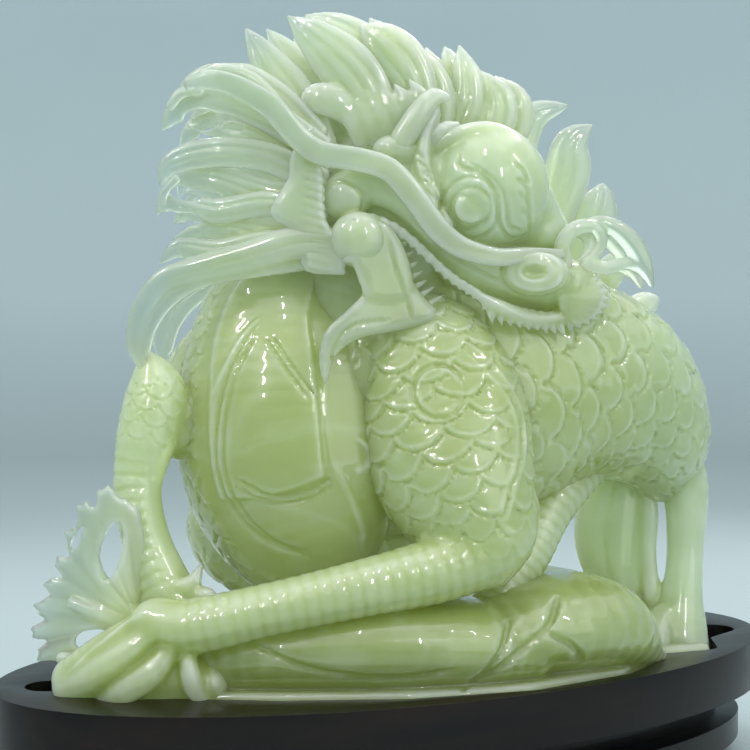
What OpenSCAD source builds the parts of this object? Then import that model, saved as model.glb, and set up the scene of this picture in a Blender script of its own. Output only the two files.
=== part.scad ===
// Carved jade dragon on an oval hardwood stand.
// The carving is one stone that lifts out of the pocket in the stand.
// Its nodes are the carved regions of that stone, which run into one another.

/* [Stand] */
// Length of the oval top plate
plate_len = 364; // [340:2:400]
// Width of the oval top plate
plate_w = 182; // [176:2:220]
// Thickness of the top plate
plate_t = 22; // [18:1:30]
// Depth of the pocket that the carving stands in
pocket_d = 8; // [5:1:12]
// Height of the waist between the two plates
waist_h = 14; // [10:1:30]
// Thickness of the lower plate
plinth_t = 12; // [10:1:20]
// Height of the bun feet
foot_h = 8; // [6:1:14]

/* [Carving] */
// Turn of the carving against the long axis of the stand
carving_turn = 25; // [22:1:28]
// Gap all round between the carving and its pocket
pocket_gap = 1; // [0.5:0.5:2]
// Half the width of the pocket's round ends, which run out past the carving
end_r = 9; // [7:1:10]

/* [Hardware] */
// Radius of the screws that hold the stand together
screw_r = 2; // [1.5:0.25:2.5]
// Number of sides on each carved limb and lock
carve_sides = 10; // [8:2:12]

/* [Hidden] */

wood = "#21150f";
jade = "#b4cc97";
pale_jade = "#c9ddc0";
brass = "#8a7a4a";

// Stand, from the ground up
oval_ratio = plate_w / plate_len;
plinth_z = foot_h;
waist_z = plinth_z + plinth_t;
plate_z = waist_z + waist_h;
stand_h = plate_z + plate_t;
waist_inset = 20;
plinth_inset = 9;
edge_r = 2;
foot_r = 13;
screw_x = 96;
screw_head_r = 2 * screw_r;
screw_head_h = 3;
screw_bite = 9;
screw_gap = 0.3;

// Carving: its frame has z = 0 at the top of the stand
mid_y = -12;   // middle plane of the head
ring_steps = 2; // rings made between two stations of a path
tooth_root = 7; // depth of a tooth's root in the jaw

// ---- paths and sweeps -------------------------------------------------

function spot(s) = [s[0], s[1], s[2]];
function unit(v) = v / norm(v);
function blend4(a, b, c, d, t) = 0.5 * (2 * b + (c - a) * t
    + (2 * a - 5 * b + 4 * c - d) * t * t + (3 * b - a - 3 * c + d) * t * t * t);
function station(st, i) = st[max(0, min(len(st) - 1, i))];
function smooth(st, n = ring_steps) = [
    for (i = [0 : len(st) - 2]) for (k = [0 : n - 1])
        blend4(station(st, i - 1), st[i], st[i + 1], station(st, i + 2), k / n),
    st[len(st) - 1]];
function heading(st, i) = unit(spot(station(st, i + 1)) - spot(station(st, i - 1)));
function ring(st, i, sides) =
    let (ahead = heading(st, i), across = unit(cross([0, 1, 0], ahead)),
         deep = cross(ahead, across), s = st[i])
    [for (k = [0 : sides - 1]) let (a = 360 * k / sides)
        spot(s) + across * s[3] * cos(a) + deep * s[4] * sin(a)];

// An oval section carried along stations of [x, y, z, half height, half depth]
module sweep(stations, sides = carve_sides) {
    st = smooth(stations);
    n = len(st);
    rings = [for (i = [0 : n - 1]) each ring(st, i, sides)];
    walls = [for (i = [0 : n - 2]) for (k = [0 : sides - 1])
        let (a = i * sides + k, b = i * sides + (k + 1) % sides)
        each [[a, a + sides, b], [b, a + sides, b + sides]]];
    start = [for (k = [0 : sides - 1]) k];
    end = [for (k = [sides - 1 : -1 : 0]) (n - 1) * sides + k];
    polyhedron(rings, concat([start], walls, [end]), convexity = 6);
}

// An egg shape with half sizes [x, y, z]
module egg(at, half) {
    sweep([for (a = [-80 : 20 : 80])
        [at[0] + half[0] * sin(a), at[1], at[2], half[2] * cos(a), half[1] * cos(a)]], 14);
}

// A pointed lock from a root to a tip, bowed by an offset at its middle
module lock(root, tip, bow, half_w, half_t) {
    sweep([concat(root, [half_w * 0.6, half_t]),
        concat((root + tip) / 2 + bow, [half_w, half_t]), concat(tip, [0.8, 0.8])]);
}

// Locks that stand side by side, each [root, tip, bow, half width]
module locks(list, half_t = 3.5) {
    for (l = list) lock(l[0], l[1], l[2], l[3], half_t);
}

module on_stand() { translate([0, 0, stand_h]) rotate([0, 0, -carving_turn]) children(); }
module stone(tone = jade) { color(tone) on_stand() children(); }
module across_head() { translate([0, 2 * mid_y, 0]) mirror([0, 1, 0]) children(); }

// ---- stand -------------------------------------------------------------

module oval(len_x, h, inset = 0) {
    linear_extrude(h) scale([len_x / 2 - inset, len_x / 2 * oval_ratio - inset])
        circle(r = 1, $fn = 96);
}

module screw_places() {
    for (x = [-screw_x, screw_x]) for (y = [-1, 1])
        translate([x, y * plate_w * 0.16, 0]) children();
}

module footprint(grow = 0) {
    offset(r = grow + 6) offset(delta = -6) polygon([[-141, -68], [-132, -80], [-90, -84],
        [-50, -87], [0, -84], [50, -70], [92, -42], [104, -26], [112, -4], [140, 6],
        [142, 34], [124, 62], [76, 80], [10, 60], [-60, 28], [-112, -16], [-138, -46]]);
}

// A straight recess with round ends, from inside the pocket out towards the plate's rim.
module pocket_end(start, stop) {
    heading = atan2(stop[1] - start[1], stop[0] - start[0]);
    near_end = [for (a = [-90:15:90]) stop + end_r * [cos(heading + a), sin(heading + a)]];
    far_end = [for (a = [90:15:270]) start + end_r * [cos(heading + a), sin(heading + a)]];
    translate([0, 0, stand_h - pocket_d]) linear_extrude(pocket_d + 1)
        polygon(concat(near_end, far_end));
}
module top_plate() {
    color(wood) difference() {
        translate([0, 0, plate_z]) oval(plate_len, plate_t);
        translate([0, 0, stand_h - pocket_d]) rotate([0, 0, -carving_turn])
            linear_extrude(pocket_d + 1) footprint(pocket_gap);
        pocket_end([-146, -2], [-160, 4]);
        pocket_end([136, -26], [157, -17]);
        screw_places() translate([0, 0, plate_z - 1])
            cylinder(r = screw_r, h = screw_bite + 1, $fn = 24);
    }
}

module waist() {
    color(wood) difference() {
        translate([0, 0, waist_z]) oval(plate_len, waist_h, waist_inset);
        screw_places() translate([0, 0, waist_z - 1])
            cylinder(r = screw_r + screw_gap, h = waist_h + 2, $fn = 24);
    }
}

module plinth() {
    color(wood) difference() {
        translate([0, 0, plinth_z]) oval(plate_len, plinth_t, plinth_inset);
        screw_places() translate([0, 0, plinth_z - 1]) {
            cylinder(r = screw_r + screw_gap, h = plinth_t + 2, $fn = 24);
            cylinder(r = screw_head_r + screw_gap, h = 1 + screw_head_h, $fn = 24);
        }
    }
}

module foot(side_x, side_y) {
    color(wood) translate([side_x * plate_len * 0.33, side_y * plate_w * 0.24, 0])
        rotate_extrude($fn = 48) polygon([[0, 0], [foot_r - 4, 0], [foot_r - 1, 2],
            [foot_r, foot_h / 2], [foot_r - 1, foot_h - 1.5], [foot_r - 2.5, foot_h],
            [0, foot_h]]);
}

module stand_screws() {
    color(brass) screw_places() translate([0, 0, plinth_z]) {
        cylinder(r = screw_r, h = plinth_t + waist_h + screw_bite, $fn = 24);
        cylinder(r = screw_head_r, h = screw_head_h, $fn = 24);
    }
}

// ---- ground ------------------------------------------------------------

module ground_rock() stone() {
    translate([0, 0, -pocket_d]) linear_extrude(pocket_d + 3) footprint();
}

module boulder_front() stone() {
    sweep([[-90, -58, 4, 6, 12], [-78, -60, 10, 13, 20], [-50, -58, 14, 16, 25],
        [-10, -56, 15, 18, 27], [25, -48, 14, 18, 30], [48, -42, 10, 11, 24]], 12);
}

module boulder_right() stone() {
    sweep([[12, -30, 6, 7, 26], [32, -34, 14, 16, 32], [60, -22, 18, 20, 36],
        [84, -8, 16, 18, 34], [102, 6, 9, 8, 24]], 12);
}

module boulder_rear() stone() {
    sweep([[-96, -24, 4, 6, 20], [-60, -8, 10, 12, 26], [-10, 18, 14, 16, 30],
        [50, 44, 16, 17, 30], [104, 48, 10, 12, 24], [132, 30, 5, 7, 14]], 12);
}

// ---- body --------------------------------------------------------------

module torso() stone() {
    sweep([[-86, 2, 108, 24, 22], [-66, 0, 112, 44, 40], [-22, -2, 110, 58, 46],
        [25, 0, 114, 56, 46], [64, 12, 121, 50, 40], [96, 25, 113, 38, 33],
        [114, 33, 92, 23, 26], [122, 38, 72, 9, 14]], 16);
}

module chest() stone() {
    sweep([[-36, -30, 46, 14, 10], [-44, -28, 58, 34, 26], [-50, -27, 86, 44, 35],
        [-52, -26, 118, 43, 36], [-54, -22, 148, 34, 31], [-46, -16, 170, 20, 22]], 16);
}

module neck() stone() {
    sweep([[-46, -6, 142, 26, 28], [-18, -8, 168, 30, 30], [6, -12, 190, 26, 28]], 14);
}

module haunch() stone() {
    sweep([[-92, 12, 56, 9, 10], [-76, 12, 54, 27, 22], [-46, 12, 48, 33, 26],
        [-14, 12, 42, 28, 22], [6, 12, 40, 16, 14]], 14);
}

module near_shoulder() stone() {
    sweep([[2, -30, 148, 14, 12], [6, -40, 136, 28, 20], [13, -46, 114, 31, 24],
        [18, -50, 88, 31, 26], [26, -52, 66, 24, 24], [31, -54, 50, 13, 16]], 14);
}

module near_forearm() stone() {
    sweep([[38, -54, 62, 14, 15], [14, -64, 49, 14, 14], [-20, -73, 41, 11, 12],
        [-55, -78, 34, 11, 12], [-88, -79, 25, 12, 12]], 12);
}

module near_paw() stone() {
    sweep([[-84, -79, 24, 11, 12], [-102, -79, 20, 15, 15], [-122, -75, 13, 12, 13],
        [-137, -71, 8, 7, 10]], 12);
}

module near_claws() stone() {
    for (k = [0 : 3])
        lock([-126 + k * 11, -84, 15], [-134 + k * 12, -89, 3], [-2, -3, 1], 3.5, 3);
}

module far_shoulder() stone() {
    sweep([[-110, -44, 104, 10, 8], [-98, -40, 104, 16, 13], [-82, -30, 104, 18, 15],
        [-62, -18, 104, 16, 13]], 12);
}

module far_foreleg() stone() {
    sweep([[-107, -42, 131, 4, 4], [-104, -42, 116, 13, 12], [-108, -46, 98, 14, 13],
        [-112, -50, 78, 12, 12], [-110, -54, 58, 11, 12], [-102, -58, 38, 12, 12],
        [-93, -60, 20, 14, 13], [-88, -60, 2, 14, 14]], 12);
}

module elbow_frill() stone(pale_jade) {
    locks([[[-119, -62, 58], [-126, -62, 80], [-3, 0, 0], 5],
        [[-114, -62, 44], [-141, -62, 62], [0, 0, 2], 5.5],
        [[-108, -62, 30], [-149, -64, 42], [0, 0, 2], 6],
        [[-106, -63, 15], [-149, -66, 21], [0, 0, 1], 6],
        [[-106, -66, 1], [-141, -70, 4], [0, 0, 0], 4]], 4);
}

module forward_hind_leg() stone() {
    sweep([[90, 0, 92, 14, 13], [74, -8, 66, 12, 11], [58, -18, 44, 10, 10],
        [44, -30, 26, 11, 11], [30, -44, 12, 12, 13]], 12);
}

module rear_hind_leg() stone() {
    sweep([[122, 34, 88, 14, 14], [128, 34, 66, 12, 12], [131, 31, 42, 10, 11],
        [130, 27, 18, 11, 12], [127, 22, 1, 12, 14]], 12);
}

module tail() stone() {
    sweep([[110, 52, 86, 5, 5], [104, 46, 66, 14, 7], [101, 42, 42, 17, 8],
        [104, 38, 20, 12, 8], [110, 34, 4, 10, 9]], 12);
}

// ---- head --------------------------------------------------------------

module skull() stone() {
    sweep([[-34, -12, 198, 12, 18], [-18, -12, 204, 24, 30], [8, -12, 206, 28, 34],
        [36, -12, 200, 25, 32], [56, -12, 186, 14, 24]], 14);
}

module eye() egg([34, -34, 203], [25, 21, 26]);
module near_eye() stone() eye();
module far_eye() stone() across_head() eye();

module upper_jaw() stone() {
    sweep([[-14, -12, 194, 7, 28], [8, -12, 182, 12, 31], [34, -12, 168, 17, 30],
        [58, -12, 164, 17, 27], [78, -12, 160, 13, 20], [88, -12, 158, 6, 10]], 14);
}

module lower_jaw() stone() {
    sweep([[-24, -12, 196, 8, 24], [-20, -12, 184, 14, 33], [-13, -12, 166, 14, 28],
        [-5, -12, 150, 13, 22], [6, -12, 142, 6, 13]], 14);
}

module beard() stone(pale_jade) {
    sweep([[-6, -12, 144, 12, 15], [-20, -12, 136, 9, 11], [-30, -12, 127, 5, 7],
        [-34, -12, 114, 1, 1.5]]);
}

// Teeth on both sides of the middle plane, each [x, z, radius, length]
module tooth_row(teeth, spread, lean) {
    for (t = teeth) for (side = [-1, 1])
        translate([t[0], mid_y + side * spread, t[1]]) rotate([0, lean, 0])
            translate([0, 0, -tooth_root])
                cylinder(r1 = t[2] + 0.4, r2 = 0.4, h = t[3] + tooth_root, $fn = 24);
}

module upper_teeth() stone(pale_jade) {
    tooth_row([[6, 173, 2, 7], [14, 166, 2, 7], [22, 160, 2.2, 7], [31, 154, 3, 11]], 26, 170);
    tooth_row([[44, 150, 2.4, 8], [52, 149, 2.4, 8], [60, 149, 2.4, 8]], 21, 180);
    tooth_row([[70, 151, 2.4, 8], [77, 153, 2.2, 8]], 13, 170);
}

module lower_teeth() stone(pale_jade) {
    tooth_row([[-8, 182, 1.8, 6], [-4, 174, 1.8, 6], [0, 166, 2, 7]], 24, 60);
    tooth_row([[4, 158, 2, 8], [7, 149, 2.6, 12]], 17, 45);
}

module lip_band() {
    sweep([[-88, -56, 244, 2, 2], [-66, -57, 242, 5, 3.5], [-48, -56, 228, 5.5, 4],
        [-34, -54, 218, 5, 4], [-20, -51, 215, 5, 5], [-8, -49, 207, 5.5, 5],
        [2, -47, 194, 5.5, 5], [14, -45, 180, 5, 5], [32, -42, 167, 4.5, 5],
        [54, -38, 161, 3, 3]]);
}
module near_lip_band() stone(pale_jade) lip_band();
module far_lip_band() stone(pale_jade) across_head() lip_band();

module cheek() {
    egg([-20, -44, 201], [10, 11, 10]);
    egg([-19, -43, 178], [11, 11, 11]);
}
module near_cheek() stone() cheek();
module far_cheek() stone() across_head() cheek();

module cheek_fin() {
    translate([0, -38, 0]) rotate([90, 0, 0]) linear_extrude(8) polygon([[-50, 236],
        [-46, 214], [-57, 193], [-46, 184], [-43, 175], [-59, 171], [-40, 166],
        [-16, 168], [-12, 200], [-20, 218], [-34, 226]]);
}
module near_cheek_fin() stone(pale_jade) cheek_fin();
module far_cheek_fin() stone(pale_jade) across_head() cheek_fin();

module horn() {
    sweep([[-10, -36, 212, 4, 4], [-2, -35, 226, 5, 5], [6, -34, 236, 5, 5],
        [11, -33, 247, 2, 2]]);
}
module near_horn() stone(pale_jade) horn();
module far_horn() stone(pale_jade) across_head() horn();

module side_crest() {
    locks([[[-32, -28, 210], [-68, -30, 266], [-1, 0, 2], 8],
        [[-14, -28, 216], [-50, -28, 276], [0, 0, 4], 8],
        [[4, -28, 222], [-18, -26, 274], [2, 0, 2], 8]], 6);
}
module near_crest() stone(pale_jade) side_crest();
module far_crest() stone(pale_jade) across_head() side_crest();
module middle_crest() stone(pale_jade) {
    locks([[[-28, -12, 216], [-60, -12, 270], [0, 0, 4], 8],
        [[-12, -12, 222], [-40, -12, 281], [1, 0, 4], 8],
        [[6, -12, 224], [-12, -12, 277], [2, 0, 2], 8]], 7);
}

module nape_locks() stone(pale_jade) {
    locks([[[16, -12, 226], [8, -12, 268], [2, 0, 0], 6],
        [[30, -12, 220], [21, -10, 268], [3, 0, 0], 6],
        [[43, -12, 210], [41, -8, 252], [2, 0, 0], 6]], 6);
}

// Flames that rise from the back and hook over, each [place, size]
module back_flames() stone(pale_jade) {
    for (f = [[[46, 12, 218], 1], [[54, 20, 188], 1.4], [[76, 26, 172], 1.2]])
        translate(f[0]) scale(f[1])
            sweep([[-8, 0, -14, 9, 6], [-1, 0, 2, 8, 5], [4, 0, 18, 7, 4],
                [12, 0, 28, 5, 3], [25, 0, 29, 1, 1]]);
}

module back_spines() stone(pale_jade) {
    for (root = [[94, 36, 142], [104, 42, 120], [110, 46, 98]])
        lock(root, root + [24, 6, 24], [3, 1, -2], 7, 4);
}

module barbel() {
    sweep([[66, -26, 172, 4, 4], [72, -29, 184, 4, 4], [82, -31, 191, 4, 4],
        [94, -30, 186, 5, 3.5], [101, -28, 174, 5, 3], [105, -27, 162, 1, 1]]);
}
module near_barbel() stone(pale_jade) barbel();
module far_barbel() stone(pale_jade) across_head() barbel();

module mane() {
    locks([[[-42, -30, 224], [-90, -30, 242], [0, 0, 4], 6],
        [[-40, -32, 212], [-103, -33, 224], [0, 0, 4], 6.5],
        [[-38, -34, 200], [-99, -36, 204], [0, 0, 3], 6.5],
        [[-38, -35, 188], [-104, -36, 190], [0, 0, 1], 6],
        [[-40, -35, 174], [-100, -34, 174], [0, 0, 1], 5]], 5);
}
module near_mane() stone(pale_jade) mane();
module far_mane() stone(pale_jade) across_head() mane();

module long_lock() {
    sweep([[-36, -46, 188, 6, 6], [-52, -48, 181, 7, 5], [-72, -48, 172, 6.5, 4.5],
        [-91, -46, 165, 5.5, 4], [-103, -45, 156, 4.5, 3.5], [-109, -44, 143, 3.5, 3],
        [-107, -43, 128, 3, 3]]);
}
module near_long_lock() stone(pale_jade) long_lock();
module far_long_lock() stone(pale_jade) across_head() long_lock();

top_plate();
waist();
plinth();
foot(-1, -1);  // foot_front_left
foot(1, -1);  // foot_front_right
foot(-1, 1);  // foot_rear_left
foot(1, 1);  // foot_rear_right
stand_screws();
ground_rock();
boulder_front();
boulder_right();
boulder_rear();
torso();
chest();
neck();
haunch();
near_shoulder();
near_forearm();
near_paw();
near_claws();
far_shoulder();
far_foreleg();
elbow_frill();
forward_hind_leg();
rear_hind_leg();
tail();
skull();
near_eye();
far_eye();
upper_jaw();
lower_jaw();
beard();
upper_teeth();
lower_teeth();
near_lip_band();
far_lip_band();
near_cheek();
far_cheek();
near_cheek_fin();
far_cheek_fin();
near_horn();
far_horn();
near_crest();
middle_crest();
far_crest();
nape_locks();
back_flames();
back_spines();
near_barbel();
far_barbel();
near_mane();
far_mane();
near_long_lock();
far_long_lock();
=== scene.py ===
"""Looks of a carved jade dragon on an oval wooden stand.

The carving is modelled like clay: each region fills a block of voxels with the distance to its
surface, and a mesh is drawn through the zero level. Its lengths are millimetres in the carving's
own frame: x to the right, y away from the camera, z up from the top of the stand.
"""
import math

import bpy
import bmesh
import numpy as np
from mathutils import Matrix, Vector


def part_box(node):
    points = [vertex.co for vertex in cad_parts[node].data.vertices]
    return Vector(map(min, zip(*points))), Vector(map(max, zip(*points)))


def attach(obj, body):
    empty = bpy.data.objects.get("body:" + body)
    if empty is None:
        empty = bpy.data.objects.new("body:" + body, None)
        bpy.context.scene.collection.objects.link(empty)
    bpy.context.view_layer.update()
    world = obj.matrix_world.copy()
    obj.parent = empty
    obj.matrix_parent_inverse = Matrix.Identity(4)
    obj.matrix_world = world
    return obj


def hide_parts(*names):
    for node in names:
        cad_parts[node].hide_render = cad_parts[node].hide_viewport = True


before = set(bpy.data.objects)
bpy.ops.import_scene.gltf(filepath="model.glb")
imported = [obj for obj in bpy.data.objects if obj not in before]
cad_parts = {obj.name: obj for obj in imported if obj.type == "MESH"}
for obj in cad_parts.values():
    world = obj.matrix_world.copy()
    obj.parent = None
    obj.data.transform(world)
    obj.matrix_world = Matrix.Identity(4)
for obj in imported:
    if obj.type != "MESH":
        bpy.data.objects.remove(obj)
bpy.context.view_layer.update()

MM = 0.001
CARVING_TURN = math.radians(-25)  # the carving's turn on the stand
STAND_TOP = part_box("top_plate")[1][2]
COARSE = 1.0  # larger voxels while trying things

# clay, in mm
MID_Y = -12.0  # the middle plane of the head
FAR = 9.0  # distance that an empty voxel holds
AWAY = np.array([0.0, 1.0, 0.0])  # the direction of a section's half depth
THINNEST = 0.4  # half width and half depth that a sweep keeps
RELIEF_REACH = 5  # relief is worked out this near to the surface

# what the stone's colour, with its painted shade and painted highlights, is worked out from, in mm
HOLLOW_RADIUS = 2.6  # hollows and raised edges, for painted shade in creases and painted highlights on edges
PROBE = 3.0  # how far inside or outside the surface the stone is felt
BULK_RADIUS = 16  # thickness under the surface
OCCLUSION_SHADE_RADIUS = 9  # stone standing round the surface, which sets the painted shade
STONE_LOW = (-176, -112, -20)
STONE_HIGH = (176, 104, 296)

# eased boards
FLAT = math.radians(1)
SHARP = math.radians(35)
SHARP_SHADING = math.radians(30)

# light, in the carving's frame and mm
LIGHT_AIM = (0, 0, 150)
SPARK_SIZE = (18, 150)
SPARK_POWER = 0.5
ROOM_COLOUR = (0.78, 0.82, 0.84, 1)
ROOM_STRENGTH = 1.35

# camera, in the carving's frame and mm
CAMERA_PLACE = (-14, -668, 147)
CAMERA_ANGLE = math.radians(28)  # angle of view
CAMERA_TURN = math.radians(88)  # turn from straight down, so it looks 2 degrees downward

to_frame = Matrix.Translation((0, 0, STAND_TOP)) @ Matrix.Rotation(CARVING_TURN, 4, "Z")


# ---- clay ----

def unit(vector):
    return vector / np.linalg.norm(vector)


def fade(value, start, width):
    """0 at the start and 1 a width further on. With a width below zero it fades downward."""
    return np.clip((value - start) / width, 0, 1)


def slope(y, rate=0, start=0):
    """A face of a slab: y at x = start, and rate mm more for each mm of x."""
    return lambda x: y + (x - start) * rate


def smooth_path(stations, steps=4):
    """A curve through the stations, of any number of columns."""
    st = np.array(stations, float)
    padded = np.vstack([2 * st[0] - st[1], st, 2 * st[-1] - st[-2]])
    rows = []
    for a, b, c, d in zip(padded, padded[1:], padded[2:], padded[3:]):
        for t in np.arange(steps) / steps:
            rows.append(0.5 * (2 * b + (c - a) * t + (2 * a - 5 * b + 4 * c - d) * t**2
                               + (3 * b - a - 3 * c + d) * t**3))
    rows.append(st[-1])
    return np.array(rows)


def spaced(line, spacing):
    """The points of a line that come more than a spacing after one another."""
    walked = 0.0
    for a, b in zip(line, line[1:]):
        walked += np.linalg.norm(b - a)
        if walked > spacing:
            walked = 0.0
            yield b


def smooth_min(a, b, soft):
    if soft <= 0:
        return np.minimum(a, b)
    h = np.maximum(soft - np.abs(a - b), 0) / soft
    return np.minimum(a, b) - h * h * soft / 4


def ellipse_distance(u, v, along, ru, rv, ra):
    """Distance to an ellipsoid with half sizes ru, rv and ra, close to true near its surface."""
    k0 = np.sqrt((u / ru)**2 + (v / rv)**2 + (along / ra)**2)
    k1 = np.sqrt((u / ru**2)**2 + (v / rv**2)**2 + (along / ra**2)**2)
    return k0 * (k0 - 1) / (k1 + 1e-4)


def strand_profile(count, depth=0.4):
    """Grooves along a lock that part it into strands: the share of the full thickness left."""
    def thickness(across):
        wave = np.abs(np.sin(math.pi * count * (np.clip(across, -1, 1) + 1) / 2))
        return 1 - depth + depth * wave**0.6
    return thickness


def ribbon_profile(across):
    """A flat ribbon, a little hollow along its middle."""
    return 0.55 + 0.45 * np.clip(np.abs(across), 0, 1)**2


def scales(row, column, relief=1.0):
    """Overlapping round scales whose free edges point along +row. Returns how far to cut."""
    reach, half = 1.35, 0.6
    cut = np.full(np.broadcast(row, column).shape, 0.7 * relief, np.float32)
    done = np.zeros(cut.shape, bool)
    first = np.ceil(row - reach)
    for i in range(3):
        line = first + i
        offset = 0.5 * np.mod(line, 2)
        side = column - offset - np.round(column - offset)
        ahead = (row - line) / reach
        radial = np.sqrt(ahead**2 + (side / half)**2)
        hit = (radial < 1) & ~done
        dome = 0.35 * (1 - radial**2)
        rim = 0.35 * np.exp(-((radial - 0.84) / 0.06)**2)
        edge = fade(radial, 0.88, 0.12)**2
        cut = np.where(hit, relief * (1.35 * edge - dome - rim - 0.55 * ahead), cut)
        done |= hit
    return cut


def scaly(pitch, around, relief):
    """Relief of a sweep: scales that are a pitch apart, and so many in a turn round it."""
    return lambda s, across, turn: scales(s / pitch, turn * around, relief)


def ribs(position, pitch, depth):
    """Narrow grooves across a limb."""
    phase = position / pitch
    phase = phase - np.round(phase)
    return depth * np.exp(-(phase / 0.16)**2)


class Clay:
    """A block of voxels that holds the distance to a surface: below zero is stone."""

    def __init__(self, low, high, step, mirrored=False):
        self.step = step * COARSE
        self.low = np.array(low, float)
        if mirrored:  # the block stops at the middle plane, and is reflected in it
            high = (high[0], MID_Y, high[2])
            self.low[1] = MID_Y - self.step * math.ceil((MID_Y - low[1]) / self.step)
        self.mirrored = mirrored
        size = np.round((np.array(high) - self.low) / self.step).astype(int) + 1
        self.field = np.full(size, FAR, np.float32)

    def window(self, low, high):
        """The part of the block between two corners, and its coordinates."""
        size = np.array(self.field.shape)
        a = np.clip(np.floor((low - self.low) / self.step).astype(int), 0, size)
        b = np.clip(np.ceil((high - self.low) / self.step).astype(int) + 1, 0, size)
        part = tuple(slice(p, q) for p, q in zip(a, b))
        axes = [(self.low[k] + self.step * np.arange(a[k], b[k])).astype(np.float32)
                for k in range(3)]
        return part, (axes[0][:, None, None], axes[1][None, :, None], axes[2][None, None, :])

    def put(self, part, distance, soft, cut):
        old = self.field[part]
        if cut:
            self.field[part] = -smooth_min(-old, distance, soft)
        else:
            self.field[part] = smooth_min(old, distance, soft)

    def egg(self, at, half, soft=1.5, cut=False, tilt=0.0):
        """An ellipsoid, tilted about y by degrees."""
        at, half = np.array(at, float), np.array(half, float)
        reach = half.max() + soft + 2 * self.step
        part, (x, y, z) = self.window(at - reach, at + reach)
        if 0 in self.field[part].shape:
            return
        c, s = math.cos(math.radians(tilt)), math.sin(math.radians(tilt))
        dx, dy, dz = x - at[0], y - at[1], z - at[2]
        self.put(part, ellipse_distance(c * dx + s * dz, dy, c * dz - s * dx,
                                        half[0], half[1], half[2]), soft, cut)

    def sweep(self, stations, soft=1.5, cut=False, relief=None, profile=None, steps=4):
        """An oval section carried along stations of x, y, z, half width and half depth.

        relief(s, across, turn) says how far to cut at s mm along the path, across from -1 to 1
        and turned by so many whole turns round it. profile(across) is the share of the half
        depth that is left at that place."""
        st = smooth_path(stations, steps)
        reach = np.maximum(st[:, 3], st[:, 4]).max() + soft + 2 * self.step
        whole, _ = self.window(st[:, :3].min(0) - reach, st[:, :3].max(0) + reach)
        made = np.full(self.field[whole].shape, FAR, np.float32)
        skin = [np.zeros(made.shape, np.float32) for _ in range(3)] if relief else []
        closest = np.full(made.shape if relief else 1, np.inf, np.float32)
        start = np.array([s.start for s in whole])
        length = 0.0
        for index, (a, b) in enumerate(zip(st, st[1:])):
            run = b[:3] - a[:3]
            span = np.linalg.norm(run)
            if span < 1e-6:
                continue
            ahead = run / span
            across = unit(np.cross(AWAY, ahead))
            inward = np.cross(ahead, across)
            grow = max(a[3:5].max(), b[3:5].max()) + soft + 2 * self.step
            part, (x, y, z) = self.window(np.minimum(a[:3], b[:3]) - grow,
                                          np.maximum(a[:3], b[:3]) + grow)
            if 0 in self.field[part].shape:
                length += span
                continue
            dx, dy, dz = x - a[0], y - a[1], z - a[2]
            far = dx * ahead[0] + dy * ahead[1] + dz * ahead[2]
            t = np.clip(far / span, 0, 1)
            u = dx * across[0] + dy * across[1] + dz * across[2]
            v = dx * inward[0] + dy * inward[1] + dz * inward[2]
            wide = np.maximum(a[3] + (b[3] - a[3]) * t, THINNEST)
            thick = np.maximum(a[4] + (b[4] - a[4]) * t, THINNEST)
            if profile is not None:
                thick = thick * profile(u / wide)
            distance = ellipse_distance(u, v, far - t * span, wide, thick,
                                        np.minimum(wide, thick))
            local = tuple(slice(p.start - o, p.stop - o) for p, o in zip(part, start))
            if relief is not None:
                turn = np.arctan2(v / thick, u / wide) / (2 * math.pi)
                from_line = (far - t * span)**2 + u**2 + v**2
                nearer = from_line < closest[local]
                # s runs on past the first and the last station, round the ends
                along = np.clip(far, -np.inf if index == 0 else 0,
                                np.inf if index == len(st) - 2 else span)
                closest[local] = np.where(nearer, from_line, closest[local])
                for grid, value in zip(skin, (length + along, u / wide, turn)):
                    grid[local] = np.where(nearer, value, grid[local])
            made[local] = np.minimum(made[local], distance)
            length += span
        if relief is not None:
            near = np.abs(made) < RELIEF_REACH
            made[near] += relief(*(grid[near] for grid in skin))
        self.put(whole, made, soft, cut)

    def lock(self, points, half_width, half_depth, strands=3, soft=0.8, root=0.55, tip=0.08,
             depth=0.2):
        """A lock of hair or a flame: widest in its middle and drawn out to a point."""
        points = smooth_path(points, 3)
        t = np.linspace(0, 1, len(points))
        widest = 0.45
        before, after = t / widest, (t - widest) / (1 - widest)
        body = np.where(t < widest, root + (1 - root) * np.sin(before * math.pi / 2),
                        tip + (1 - tip) * np.cos(after * math.pi / 2)**0.8)
        rows = np.column_stack([points, half_width * body, half_depth * (0.35 + 0.65 * body)])
        self.sweep(rows, soft=soft, profile=strand_profile(strands, depth), steps=2)

    def slab(self, outline, y_low, y_high, soft=1.5, round_by=1.5, relief=None, smooth=True):
        """A plate across y with an outline of x, z points. Either face may slope."""
        pts = smooth_path(list(outline) + [outline[0]], 3)[:-1] if smooth else np.array(outline)
        margin = soft + round_by + 2 * self.step
        low = np.array([pts[:, 0].min(), y_low(pts[:, 0]).min(), pts[:, 1].min()])
        high = np.array([pts[:, 0].max(), y_high(pts[:, 0]).max(), pts[:, 1].max()])
        part, (x, y, z) = self.window(low - margin, high + margin)
        flat = polygon_distance(x, z, pts)
        middle = (y_low(x) + y_high(x)) / 2
        half = (y_high(x) - y_low(x)) / 2
        depth = np.abs(y - middle) - half
        distance = -smooth_min(-flat, -depth, 2 * round_by)
        if relief is not None:
            distance = distance + relief(x, z)
        self.put(part, distance, soft, False)

    def near_face(self, x, z):
        """The y where a line from the front through x and z first meets stone."""
        i = int(round((x - self.low[0]) / self.step))
        k = int(round((z - self.low[2]) / self.step))
        if not (0 <= i < self.field.shape[0] and 0 <= k < self.field.shape[2]):
            return None
        stone = np.nonzero(self.field[i, :, k] < 0)[0]
        if not len(stone):
            return None
        return self.low[1] + self.step * stone[0]

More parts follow.
